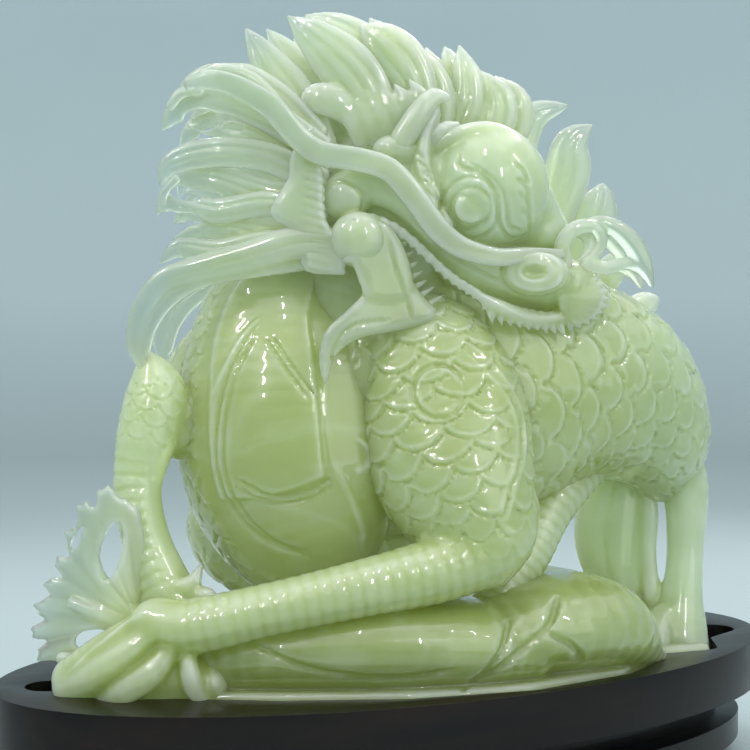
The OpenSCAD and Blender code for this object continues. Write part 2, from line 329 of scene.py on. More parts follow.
    def trace(self, outline, radius, raised=False, steps=4, sink=None):
        """A groove or a bead drawn on the surface along x, z points seen from the front.

        sink is how far its middle lies inside the surface, as a share of its radius."""
        if sink is None:
            sink = 0.3 if raised else -0.35
        rows = []
        for x, z in smooth_path(outline, steps):
            y = self.near_face(x, z)
            if y is None:
                self._tube(rows, radius, raised)
                rows = []
                continue
            rows.append((x, y + radius * sink, z, radius, radius))
        self._tube(rows, radius, raised)

    def _tube(self, rows, radius, raised):
        """A stretch of a trace, smoothed in depth and thinned toward its ends."""
        if len(rows) < 3:
            return
        rows = np.array(rows)
        kernel = np.array([0.25, 0.5, 0.25])
        rows[1:-1, 1] = np.convolve(rows[:, 1], kernel, "valid")
        ends = np.linspace(0, 1, len(rows))
        rows[:, 3:] *= np.clip(np.minimum(ends, 1 - ends) * 6 + 0.4, 0, 1)[:, None]
        self.sweep(rows, soft=0.5 * radius, cut=not raised, steps=1)

    def ring(self, centre, radii, radius, raised=False, start=0, stop=360):
        angles = np.radians(np.linspace(start, stop, 25))
        self.trace([(centre[0] + radii[0] * math.cos(a), centre[1] + radii[1] * math.sin(a))
                    for a in angles], radius, raised, steps=2)

    def cone(self, root, tip, radius, soft=0.3):
        waist, point = radius * 0.75, 0.35
        self.sweep([(*root, radius, radius), (*(root * 0.5 + tip * 0.5), waist, waist),
                    (*tip, point, point)], soft=soft, steps=2)

    def whole_field(self):
        """The block with its reflection, when it has one."""
        if not self.mirrored:
            return self.field
        return np.concatenate([self.field, self.field[:, -2::-1]], axis=1)


def polygon_distance(x, z, points):
    """Signed distance in the plane to a closed outline: below zero inside."""
    best = np.full(np.broadcast(x, z).shape, 1e9, np.float32)
    inside = np.zeros(best.shape, bool)
    for (ax, az), (bx, bz) in zip(points, np.roll(points, -1, axis=0)):
        ex, ez = bx - ax, bz - az
        t = np.clip(((x - ax) * ex + (z - az) * ez) / (ex * ex + ez * ez + 1e-9), 0, 1)
        best = np.minimum(best, (x - ax - t * ex)**2 + (z - az - t * ez)**2)
        if abs(ez) > 1e-9:
            inside ^= ((az > z) != (bz > z)) & (x < ex * (z - az) / ez + ax)
    return np.sqrt(best) * np.where(inside, -1, 1)


def box_blur(a, radius):
    """Mean over a cube of voxels, one axis at a time."""
    for axis in range(3):
        a = np.moveaxis(a, axis, 0)
        padded = np.concatenate([np.repeat(a[:1], radius + 1, 0), a,
                                 np.repeat(a[-1:], radius, 0)])
        total = np.cumsum(padded, axis=0, dtype=np.float64)
        width = 2 * radius + 1
        a = np.moveaxis(((total[width:] - total[:-width]) / width).astype(np.float32), 0, axis)
    return a


def sample(grid, low, step, points):
    """Values of a grid at points, blended between its voxels."""
    p = np.clip((points - low) / step, 0, np.array(grid.shape) - 1.001)
    i = p.astype(int)
    f = p - i
    out = np.zeros(len(points))
    for corner in range(8):
        bit = np.array([corner & 1, corner >> 1 & 1, corner >> 2 & 1])
        weight = np.prod(np.where(bit, f, 1 - f), axis=1)
        at = i + bit
        out += weight * grid[at[:, 0], at[:, 1], at[:, 2]]
    return out


CORNERS = np.array([(0, 0, 0), (1, 0, 0), (0, 1, 0), (1, 1, 0),
                    (0, 0, 1), (1, 0, 1), (0, 1, 1), (1, 1, 1)])
EDGES = [(a, b) for a in range(8) for b in range(a + 1, 8)
         if np.abs(CORNERS[a] - CORNERS[b]).sum() == 1]


def surface_net(field, low, step):
    """Points and four-sided faces on the zero level of a block."""
    field = np.pad(field, 1, constant_values=FAR)
    low = low - step
    solid = field < 0
    count = sum(solid[c[0]:solid.shape[0] - 1 + c[0], c[1]:solid.shape[1] - 1 + c[1],
                      c[2]:solid.shape[2] - 1 + c[2]].astype(np.int8) for c in CORNERS)
    cells = np.argwhere((count > 0) & (count < 8))
    index = np.full(count.shape, -1, np.int32)
    index[tuple(cells.T)] = np.arange(len(cells))
    values = np.stack([field[tuple((cells + c).T)] for c in CORNERS], axis=1)
    total, hits = np.zeros((len(cells), 3)), np.zeros(len(cells))
    for a, b in EDGES:
        va, vb = values[:, a], values[:, b]
        crossed = (va < 0) != (vb < 0)
        t = np.where(crossed, va / np.where(crossed, va - vb, 1), 0)
        point = CORNERS[a] + t[:, None] * (CORNERS[b] - CORNERS[a])
        total += np.where(crossed[:, None], point, 0)
        hits += crossed
    points = low + (cells + total / hits[:, None]) * step
    faces = []
    for axis in range(3):
        n = np.eye(3, dtype=int)[axis]
        size = np.array(solid.shape) - n
        a = solid[:size[0], :size[1], :size[2]]
        b = solid[n[0]:, n[1]:, n[2]:]
        p, q = np.eye(3, dtype=int)[(axis + 1) % 3], np.eye(3, dtype=int)[(axis + 2) % 3]
        for grown, flip in ((a & ~b, False), (~a & b, True)):
            at = np.argwhere(grown)
            quad = np.stack([index[tuple(k.T)] for k in (at - p - q, at - q, at, at - p)], 1)
            faces.append(quad[:, ::-1] if flip else quad)
    return points, np.vstack(faces)


# ---- stone into objects ----

class StoneMap:
    """How full of stone each coarse cell of the whole carving is."""

    def __init__(self, step):
        self.step = step
        self.low = np.array(STONE_LOW, float)
        size = np.ceil((np.array(STONE_HIGH) - self.low) / step).astype(int)
        self.grid = np.zeros(size, np.float32)

    def add(self, field, low, step):
        high = low + step * (np.array(field.shape) - 1)
        first = np.maximum(np.ceil((low - self.low) / self.step), 0).astype(int)
        last = np.minimum(np.floor((high - self.low) / self.step) + 1, self.grid.shape).astype(int)
        part = tuple(slice(a, b) for a, b in zip(first, last))
        index = np.indices(tuple(b - a for a, b in zip(first, last))).reshape(3, -1).T + first
        value = sample(field, low, step, self.low + index * self.step)
        full = np.clip(0.5 - value / self.step, 0, 1).reshape(self.grid[part].shape)
        self.grid[part] = np.maximum(self.grid[part], full)

    def around(self, points, radius):
        """The share of stone within about a radius of each point."""
        cells = max(1, int(round(radius / self.step / 2)))
        return sample(box_blur(box_blur(self.grid, cells), cells), self.low, self.step, points)


coarse_map = StoneMap(4.0)
fine_map = StoneMap(2.2)
stone_pieces = []


def add_object(name, data):
    """Puts a new object into the scene."""
    thing = bpy.data.objects.new(name, data)
    bpy.context.scene.collection.objects.link(thing)
    return thing


def finish_clay(name, clay, nodes, slot="jade"):
    """Turns a region of clay into an object that stands for some of the CAD nodes."""
    field = clay.whole_field()
    points, faces = surface_net(field, clay.low, clay.step)
    radius = max(2, int(round(HOLLOW_RADIUS / clay.step)))
    hollow = sample(box_blur((field < 0).astype(np.float32), radius), clay.low, clay.step, points)
    for stone_map in (coarse_map, fine_map):
        stone_map.add(field, clay.low, clay.step)
    mesh = bpy.data.meshes.new(name)
    mesh.vertices.add(len(points))
    mesh.vertices.foreach_set("co", (points * MM).astype(np.float32).ravel())
    mesh.loops.add(4 * len(faces))
    mesh.loops.foreach_set("vertex_index", faces.astype(np.int32).ravel())
    mesh.polygons.add(len(faces))
    mesh.polygons.foreach_set("loop_start", np.arange(0, 4 * len(faces), 4, dtype=np.int32))
    mesh.update(calc_edges=True)
    mesh.polygons.foreach_set("use_smooth", np.ones(len(faces), bool))
    set_attribute(mesh, "hollow", hollow)
    stone_pieces.append((add_object(name, mesh), points, nodes, slot))


def set_attribute(mesh, name, values):
    """Stores a number for each vertex."""
    attribute = mesh.attributes.new(name, "FLOAT", "POINT")
    attribute.data.foreach_set("value", values.astype(np.float32))


def settle_stone(material, shaded, shaded_pieces):
    """Gives each region its depth in the stone, the share of stone round it that sets its painted
    shade, its place in the frame and its material: the shaded pieces get the darker copy, painted
    shade.
    """
    places, outward = [], []
    for piece, points, *_ in stone_pieces:
        normals = np.zeros(len(points) * 3, np.float32)
        piece.data.vertices.foreach_get("normal", normals)
        places.append(points)
        outward.append(normals.reshape(-1, 3))
    places, outward = np.vstack(places), np.vstack(outward)
    bulk = coarse_map.around(places - PROBE * outward, BULK_RADIUS)
    occlusion_shade = fine_map.around(places + PROBE * outward, OCCLUSION_SHADE_RADIUS)
    start = 0
    for piece, points, nodes, slot in stone_pieces:
        mesh = piece.data
        stop = start + len(points)
        set_attribute(mesh, "bulk", bulk[start:stop])
        set_attribute(mesh, "occlusion_shade", occlusion_shade[start:stop])
        start = stop
        mesh.transform(to_frame)
        mesh.materials.append(shaded if piece.name in shaded_pieces else material)
        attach(piece, "carving")
        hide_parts(*nodes)


# ---- regions of the carving ----

def make_body():
    clay = Clay((-114, -62, 14), (146, 66, 206), 1.12)
    clay.sweep([(-86, 2, 108, 24, 22), (-66, 0, 112, 44, 40), (-22, -2, 112, 58, 44),
                (25, 0, 114, 57, 44), (64, 12, 121, 49, 40), (96, 24, 114, 40, 34),
                (116, 33, 94, 25, 26), (121, 37, 76, 13, 15)],
               relief=scaly(10.5, 14, 1.3), steps=6)
    clay.sweep([(-46, -6, 142, 26, 28), (-18, -8, 168, 30, 30), (6, -12, 190, 26, 28)], soft=4)
    clay.egg((-24, -22, 158), (20, 20, 26), soft=6)
    clay.sweep([(-90, 12, 56, 8, 9), (-76, 12, 54, 26, 20), (-46, 12, 48, 33, 24),
                (-14, 12, 42, 28, 22), (6, 12, 40, 16, 14)],
               relief=scaly(9, 11, 1.1), soft=3)
    finish_clay("body_stone", clay, ["torso", "neck", "haunch"])


def make_chest():
    clay = Clay((-104, -70, 22), (4, 22, 196), 0.9)

    def front(s, across, turn):
        rim = fade(across, -0.74, -0.05)
        panel = (fade(across, -0.66, 0.03) * fade(across, 0.36, -0.04)
                 * fade(s - 10 * (across + 0.1)**2, 36, 2.0))
        return rim * scales((170 - s) / 6.5, turn * 22, 0.9) - 1.5 * panel

    clay.sweep([(-34, -30, 44, 14, 10), (-42, -28, 58, 35, 26), (-50, -27, 86, 46, 34),
                (-53, -22, 118, 45, 33), (-54, -13, 148, 35, 29), (-46, -7, 172, 21, 23)],
               relief=front, steps=6)
    for shift in (0, 3.2):
        clay.trace([(-66 + shift, 142), (-75 + shift, 124), (-79 + shift, 99),
                    (-76 + shift, 78), (-62 + shift, 60), (-41, 51 + shift / 2)], 0.8)
        clay.trace([(-71, 84 - shift), (-56, 77 - shift), (-40, 79 - shift),
                    (-30, 85 - shift)], 0.7)
        clay.trace([(-60 + shift, 142), (-51 + shift, 129), (-41 + shift, 116)], 0.7)
    clay.trace([(-60, 150), (-70, 138), (-80, 118)], 1.6, True)
    clay.trace([(-36, 136), (-35, 112), (-33, 92), (-27, 80), (-21, 64), (-20, 54)], 2.6, True,
               sink=0.7)
    clay.trace([(-24, 100), (-18, 96), (-17, 88), (-23, 85)], 1.6, True)
    finish_clay("chest_stone", clay, ["chest"])


def make_near_foreleg():
    clay = Clay((-148, -98, -6), (66, 0, 166), 0.95)

    def bands(s, across, turn):
        return ribs(s, 5.6, 0.3) * fade(s, 14, 8) * fade(s, 152, -10)

    clay.sweep([(2, -22, 150, 14, 12), (5, -28, 136, 29, 20), (12, -35, 114, 36, 23),
                (18, -42, 88, 34, 26), (27, -49, 66, 25, 24), (30, -53, 54, 16, 16)],
               relief=scaly(8.6, 10, 1.3), steps=6)
    clay.sweep([(44, -50, 70, 9, 10), (36, -56, 57, 13, 14), (14, -64, 48, 13.5, 14),
                (-20, -73, 41, 11.5, 12), (-55, -78, 34, 10.5, 12), (-88, -79, 27, 11, 12),
                (-101, -77, 29, 9, 10)], relief=bands, steps=6, soft=4)
    clay.sweep([(-97, -76, 28, 8, 8), (-106, -76, 20, 12, 10), (-119, -74, 11, 13, 11),
                (-134, -71, 5, 9, 10)], soft=4)
    clay.sweep([(-80, -76, 4, 8, 9), (-104, -76, 6, 12, 11), (-134, -72, 2, 6, 9)], soft=5)
    outer_toe = [(-100, -82, 27, 4, 5), (-112, -85, 17, 5.5, 6), (-125, -83, 8, 6, 6),
                 (-137, -77, 2, 4, 5)]
    inner_toe = [(-93, -83, 20, 4, 5), (-101, -87, 11, 5.5, 6), (-111, -87, 4, 5.5, 6),
                 (-120, -83, -1, 3, 4)]
    heel_toe = [(-88, -82, 18, 3, 4), (-86, -86, 10, 4, 5), (-84, -86, 3, 3.5, 4),
                (-80, -83, -2, 2, 3)]
    for toe in (outer_toe, inner_toe, heel_toe):
        clay.sweep(toe, soft=2.5, steps=3)
    for shift in (0, 3.4):
        clay.trace([(18, 142 - shift), (34 - shift, 130 - shift), (45 - shift, 113),
                    (47 - shift, 95), (42 - shift, 80), (38 - shift, 66)], 1.2, True)
    clay.ring((12, 119), (8.6, 8.6), 1.0, raised=True)
    clay.ring((12, 119), (10.6, 10.6), 0.8)
    clay.trace([(-134, 9), (-124, 18), (-112, 28), (-103, 34)], 1.6, True)
    finish_clay("near_foreleg_stone", clay,
                ["near_shoulder", "near_forearm", "near_paw", "near_claws"])


def make_far_foreleg():
    clay = Clay((-130, -82, -6), (-54, -6, 140), 0.85)

    def bands(s, across, turn):
        banded = fade(across, -0.6, 0.4) * fade(s, 44, 6) * fade(s, 104, -6)
        scaled = fade(s, 42, -4) * fade(s, 6, 6)
        return ribs(s, 5.2, 0.6) * banded + scales(s / 6.0, turn * 7, 0.7) * scaled

    clay.sweep([(-109, -42, 133, 3, 3), (-105, -42, 118, 12, 11), (-109, -46, 98, 12, 12),
                (-112, -50, 78, 10, 11), (-108, -54, 58, 10, 11), (-101, -58, 42, 11, 12),
                (-95, -62, 26, 14, 13), (-90, -63, 3, 17, 14)], relief=bands, steps=6)
    clay.sweep([(-108, -44, 106, 10, 8), (-97, -38, 105, 15, 9), (-82, -28, 104, 18, 13),
                (-62, -18, 104, 16, 13)],
               relief=scaly(6.5, 8, 0.8), soft=3)
    clay.sweep([(-96, -66, 40, 4, 4), (-88, -67, 42, 3.6, 3.4), (-84, -66, 49, 1, 1)])
    clay.sweep([(-92, -66, 34, 5, 4), (-82, -68, 36, 5, 4), (-76, -68, 28, 2, 2)])
    finish_clay("far_foreleg_stone", clay, ["far_shoulder", "far_foreleg"])


def make_frill():
    """A plume of thin lobes that fans out behind the elbow."""
    clay = Clay((-156, -80, -4), (-96, -46, 90), 0.65)
    root = np.array([-109.0, 27.0])
    lobes = 13  # in half a turn
    reach = np.array([(88, 40), (97, 54), (108, 55), (122, 50), (138, 42), (154, 40),
                      (172, 42), (190, 44), (204, 44), (216, 36), (228, 30)], float)
    angles = np.linspace(88, 228, 90)
    radii = np.interp(angles, reach[:, 0], reach[:, 1])
    radii *= 0.93 + 0.10 * np.abs(np.sin(np.radians(angles) * lobes)) \
        + 0.02 * np.sin(np.radians(angles) * 61)
    rim = [(root[0] + r * math.cos(a), root[1] + r * math.sin(a))
           for r, a in zip(radii, np.radians(angles))]

    def folds(x, z):
        angle = np.degrees(np.arctan2(z - root[1], x - root[0])) % 360
        return 0.7 - 0.7 * np.abs(np.sin(np.radians(angle) * lobes))**0.7

    def middle(x):
        return -65 - 0.06 * (x + 110) + 2.5 * np.sin((x + 110) / 7)

    clay.slab(rim + [(-100, 4), (-100, 30)], lambda x: middle(x) - 2.4, lambda x: middle(x) + 1.6,
              relief=folds, smooth=False)
    clay.egg((-120, -64, 55), (4.2, 14, 13), cut=True, soft=1, tilt=-14)
    clay.egg((-127, -66, 19), (9, 14, 4.5), cut=True, soft=1, tilt=10)
    clay.egg((-134, -66, 60), (1.6, 14, 6), cut=True, soft=0.6, tilt=-30)
    clay.sweep([(-108, -66, 26, 4, 4), (-118, -65, 34, 4, 4), (-126, -65, 46, 3, 3),
                (-130, -65, 62, 2, 2)], soft=2)
    clay.sweep([(-106, -68, 20, 5, 4), (-120, -67, 28, 4, 4), (-136, -66, 34, 2.5, 2.5)], soft=2)
    clay.sweep([(-104, -70, 8, 5, 5), (-122, -69, 9, 5, 5), (-140, -67, 12, 2.5, 3)], soft=2)
    finish_clay("frill_stone", clay, ["elbow_frill"], slot="pale_jade")


def make_hind_legs():
    clay = Clay((2, -72, -6), (148, 66, 112), 0.95)

    def bands(s, across, turn):
        return ribs(s, 5.0, 0.5) * fade(s, 20, 8)

    clay.sweep([(92, 22, 96, 14, 13), (76, 8, 79, 12, 12), (63, -6, 63, 10, 10),
                (54, -17, 48, 9.5, 10), (44, -28, 36, 10, 10), (32, -40, 22, 10, 11),
                (17, -54, 8, 9, 12)], relief=bands, steps=5)
    clay.sweep([(122, 34, 92, 14, 14), (131, 34, 70, 11, 12), (131, 32, 42, 8.5, 10),
                (129, 28, 20, 9.5, 11), (127, 22, 0, 13, 13)], soft=3, steps=5)
    clay.sweep([(118, 24, 10, 6, 9), (112, 16, 0, 8, 12), (106, 12, -4, 6, 10)], soft=3)
    clay.sweep([(106, 46, 86, 6, 5), (103, 43, 68, 17, 7), (100, 41, 48, 20, 8),
                (100, 39, 32, 16, 8), (104, 36, 16, 8, 6), (112, 30, 2, 8, 8)],
               profile=strand_profile(3, 0.14), soft=2, steps=5)
    clay.sweep([(112, 40, 84, 3, 3), (115, 36, 60, 4, 4), (114, 34, 36, 4, 4),
                (118, 30, 8, 4, 4)], soft=3)
    finish_clay("hind_stone", clay, ["forward_hind_leg", "rear_hind_leg", "tail"])


FOOTPRINT = [(-141, -68), (-132, -80), (-90, -84), (-50, -87), (0, -84), (50, -70), (92, -42),
             (104, -26), (112, -4), (140, 6), (142, 34), (124, 62), (76, 80), (10, 60),
             (-60, 28), (-112, -16), (-138, -46)]


def make_rocks():
    low, high = np.array((-146, -92, -9)), np.array((148, 86, 46))
    clay = Clay(low, high, 1.2)
    inset, middle, half_thickness = 2.5, -3.2, 4.8  # the foot that sits in the pocket
    part, (x, y, z) = clay.window(low, high)
    flat = polygon_distance(x, y, np.array(FOOTPRINT, float)) + inset
    level = np.abs(z - middle) - half_thickness
    clay.put(part, -smooth_min(-flat, -level, 3), 0, False)
    clay.sweep([(-88, -58, 4, 6, 12), (-76, -61, 10, 13, 19), (-50, -60, 14, 17, 24),
                (-10, -58, 16, 19, 26), (25, -48, 15, 18, 28), (48, -42, 10, 11, 22)], soft=2)
    clay.sweep([(12, -34, 6, 7, 26), (32, -38, 14, 17, 31), (60, -26, 18, 21, 34),
                (84, -12, 16, 19, 30), (101, 2, 7, 8, 22)], soft=2)
    clay.sweep([(-96, -24, 4, 6, 20), (-60, -8, 10, 12, 26), (-10, 18, 14, 16, 30),
                (50, 44, 16, 17, 30), (104, 48, 10, 12, 24), (130, 30, 5, 7, 14)], soft=4)
    clay.trace([(28, 4), (42, 14), (56, 24), (62, 34)], 1.6)
    clay.trace([(20, 0), (30, 8), (36, 16), (40, 26)], 1.4)
    clay.trace([(56, 22), (66, 16), (72, 8)], 1.4)
    clay.trace([(-60, 20), (-40, 12), (-10, 8), (20, 10)], 1.2)
    finish_clay("rock_stone", clay,
                ["ground_rock", "boulder_front", "boulder_right", "boulder_rear"])


LIP = [(-15, -49, 190), (-6, -48, 186), (2, -47, 180), (16, -45, 167), (28, -43, 159),
       (38, -40, 153), (53, -34, 148), (69, -27, 150), (84, -18, 156)]


def make_head():
    clay = Clay((-46, -62, 136), (100, MID_Y, 240), 0.8, mirrored=True)
    clay.sweep([(-34, -12, 200, 12, 20), (-18, -12, 206, 22, 30), (8, -12, 206, 27, 32),
                (36, -12, 200, 24, 28), (56, -12, 186, 14, 22)], steps=5)
    clay.sweep([(-14, -12, 194, 7, 30), (8, -12, 183, 12, 33), (34, -12, 169, 15, 31),
                (58, -12, 164, 14, 27), (74, -12, 161, 10, 20), (83, -12, 159, 5, 10)],
               soft=5, steps=5)
    clay.sweep([(-22, -44, 206, 9, 6), (-4, -46, 200, 8, 6), (12, -46, 186, 7, 6)], soft=4)
    clay.egg((34, -34, 204), (25, 20, 25), soft=3)  # eye dome
    clay.egg((53, -38, 168), (14, 8, 9), soft=4)  # nostril mound
    clay.egg((69, -22, 166), (10, 11, 8), soft=4)
    clay.egg((-26, -44, 199), (10, 8, 10.5), soft=2.5)  # cheek balls
    clay.trace([(-32, 205), (-25, 204), (-19, 199), (-20, 192)], 0.9)
    clay.egg((-21, -51, 181), (11.5, 7, 11.5), soft=2)
    clay.egg((-6, -41, 219), (9, 6, 6), soft=4)
    clay.egg((25, -50.0, 194), (6.4, 2.2, 6.4), soft=0.6)
    for radius in (8.2, 12.4):  # eyelids
        clay.ring((25, 194), (radius, radius), 0.8)
    clay.trace([(20, 216), (21, 211), (28, 208), (33, 203), (36, 195), (37, 188), (42, 182),
                (50, 184)], 1.0)
    clay.trace([(25, 212), (31, 208), (37, 202), (40, 194), (41, 187), (46, 185)], 0.9)
    for k in range(4):  # strokes like feathers
        clay.trace([(43 + k, 212 - 6 * k), (47 + 0.8 * k, 209 - 6 * k),
                    (49 + 0.5 * k, 203 - 6 * k)], 0.9)
    clay.sweep([(9, -40, 220, 2, 2), (22, -41, 226, 3, 3), (36, -39, 227, 3, 3),
                (48, -35, 219, 2.6, 3), (56, -32, 206, 2, 2)], soft=4)  # brow ridge
    clay.sweep([(11, -41, 234, 2, 2.5), (7, -42, 224, 2.6, 3), (6, -44, 211, 3, 3),
                (11, -48, 198, 2.2, 2.2)], soft=2.5)
    for k in range(5):  # folds behind the eye
        clay.trace([(2 + 1.2 * k, 218 - 4 * k), (7 + 1.2 * k, 213 - 4 * k),
                    (10 + 1.2 * k, 206 - 4 * k)], 0.8)
    clay.ring((53, 168), (10.5, 6.5), 1.8, raised=True)  # nostril
    clay.egg((52, -46, 168), (6, 4, 3.6), soft=1.5, cut=True)
    clay.ring((53, 168), (15, 10.5), 0.8, start=150, stop=330)
    clay.trace([(0, 190), (14, 177), (30, 168), (38, 164)], 0.9)
    clay.trace([(62, 178), (74, 174), (84, 168)], 0.9)
    front_x = 30  # forward of this the lip is fuller and the teeth are longer
    clay.sweep([(*p, 1.8, 2.2) if p[0] < front_x else (*p, 3.6, 4) for p in LIP],
               soft=2, steps=3)
    for gum in spaced(smooth_path(LIP), 3.2):
        root = gum + np.array([0.0, -1.0, 0.5])
        length = 3.4 if gum[0] < front_x else 5.6
        clay.cone(root, root + np.array([-0.45, 0.1, -0.8]) * length, 1.7, soft=0.8)
    for k in range(9):  # bristles under the lip
        root = np.array([34.0 + 3.6 * k, -41.0 + 1.3 * k, 154.0 - 0.7 * k])
        clay.cone(root, root + np.array([0.8 + 0.35 * k, -2.0, -7.5]), 2.3, soft=0.8)
    for k in range(11):  # bristles at the front
        angle = math.radians(-75 + 12 * k)
        root = np.array([64.0, -34.0, 158.0])
        out = np.array([math.cos(angle), 0.3, 0.72 * math.sin(angle)])
        clay.sweep([(*root, 1.6, 2.0), (*(root + out * 10), 2.2, 2.2),
                    (*(root + out * 17), 1.9, 1.5), (*(root + out * 21), 0.6, 0.6)],
                   soft=0.6, steps=2)
    finish_clay("head_stone", clay, ["skull", "near_eye", "far_eye", "upper_jaw", "upper_teeth",
                                     "near_cheek", "far_cheek"])


def make_jaw():
    clay = Clay((-50, -72, 112), (22, MID_Y, 200), 0.75, mirrored=True)
    outline = [(-9, 187), (-4, 179), (-1, 170), (3, 162), (8, 156), (12, 152), (10, 147), (4, 145),
               (-6, 143), (-18, 141), (-26, 137), (-31, 131), (-34, 121), (-37, 130), (-35, 143),
               (-27, 151), (-19, 159), (-18, 165), (-22, 170), (-28, 172), (-20, 180)]
    clay.slab(outline, slope(-60, 0.30, -35), slope(-54, 0.34, -35), round_by=2.5)
    clay.slab([(-24, 190), (-10, 188), (0, 172), (-2, 158), (-16, 158), (-22, 168)],
              slope(-50, 0.3), slope(-20), soft=3)
    clay.egg((-6, -12, 158), (14, 26, 9), soft=6)
    clay.sweep([(-10, -14, 146, 8, 6), (-22, -14, 138, 6, 5), (-32, -14, 126, 4, 4),
                (-35, -14, 115, 1, 1)], soft=2)
    gum_line = [(-7, 187), (-3, 179), (0, 170), (3, 162), (8, 156), (12, 154)]
    gum_y = slope(-56, 0.34, -35)
    for x, z in spaced(smooth_path(gum_line), 4.0):
        root = np.array([x - 1.5, gum_y(x), z - 1.0])
        length = 4.0 + 0.12 * (187 - z)
        clay.cone(root, root + np.array([0.9, -0.1, 0.55]) * length, 1.5)
    clay.trace([(-8, 180), (-5, 168), (-1, 158), (1, 149)], 0.8)
    clay.trace([(-32, 128), (-30, 138), (-22, 146), (-8, 148)], 0.9)
    finish_clay("jaw_stone", clay, ["lower_jaw", "lower_teeth", "beard"])


def make_face_trim():
    """Lip bands, cheek fins, horns and barbels on both sides of the head."""
    clay = Clay((-94, -66, 160), (112, MID_Y, 256), 0.8, mirrored=True)
    clay.sweep([(-90, -59, 243, 2.0, 2), (-80, -59, 244.5, 4, 3), (-70, -59, 242, 4.6, 3.4),
                (-56, -58, 234, 5, 3.6), (-47, -57, 224, 5, 4), (-37, -56, 216, 5, 4),
                (-20, -54, 213, 5, 4), (-8, -53, 209, 5, 4), (2, -53, 198, 5, 4),
                (11, -52, 186, 5, 4), (21, -50, 178, 4.6, 4), (36, -46, 174, 4, 4),
                (49, -41, 175, 3.4, 4), (64, -34, 176, 2, 3)],
               profile=ribbon_profile, soft=0.6)
    clay.sweep([(-89, -58, 242, 1.6, 1.6), (-83, -56, 247, 2.4, 2), (-74, -54, 249, 3, 2.4),
                (-62, -51, 244, 3.6, 2.6), (-50, -47, 230, 4, 3)], soft=0.8)

    def fin_ribs(x, z):
        return ribs(z + 0.25 * x, 3.6, 0.6) * fade(x, -45, 3) * fade(x, -32, -3)

    clay.slab([(-42, 224), (-47, 215), (-48, 205), (-56, 192), (-47, 186), (-43, 179),
               (-42, 169), (-27, 168), (-28, 178), (-34, 190), (-35, 208)],
              slope(-53, -0.02, -56), slope(-45), relief=fin_ribs)
    clay.sweep([(-40, -50, 226, 1.4, 2), (-47, -50, 215, 1.6, 2), (-48, -50, 205, 1.8, 2),
                (-56, -50, 192, 1.3, 1.5), (-47, -50, 186, 1.6, 2), (-43, -50, 179, 1.6, 2),
                (-42, -50, 169, 1.2, 1.5), (-27, -51, 167.5, 1.2, 1.5)], soft=1, steps=3)
    clay.sweep([(-10, -40, 212, 5, 5), (-3, -42, 222, 5.4, 5), (4, -43, 233, 5, 4.4),
                (10, -42, 240, 4, 3.6), (16, -42, 240, 1.4, 1.6)], soft=1)
    clay.sweep([(8, -40, 220, 3, 3), (14, -41, 227, 3, 3), (20, -40, 229, 1.5, 1.5)], soft=1)
    clay.sweep([(66, -30, 170, 4, 4), (65, -31, 180, 3.4, 3), (71, -31, 187, 3.2, 2.6),
                (79, -30, 187, 3, 2.2), (82, -29, 181, 2.6, 2.2), (78, -28, 174, 2.4, 3)],
               soft=1)
    clay.sweep([(72, -28, 186, 2, 2), (80, -28, 189.5, 3, 2), (89, -28, 186, 4.4, 2.2),
                (96, -27, 179, 5, 2.2), (101, -26, 170, 4, 2), (104, -25, 163, 1.4, 1.2)],
               profile=strand_profile(1, 0.35), soft=0.8)
    clay.sweep([(76, -28, 172, 3, 3), (84, -28, 170, 3, 2.6), (92, -27, 172, 2.6, 2),
                (99, -26, 170, 2, 1.6)], soft=1.5, steps=3)
    finish_clay("face_trim_stone", clay,
                ["near_lip_band", "far_lip_band", "near_cheek_fin", "far_cheek_fin",
                 "near_horn", "far_horn", "near_barbel", "far_barbel"], slot="pale_jade")


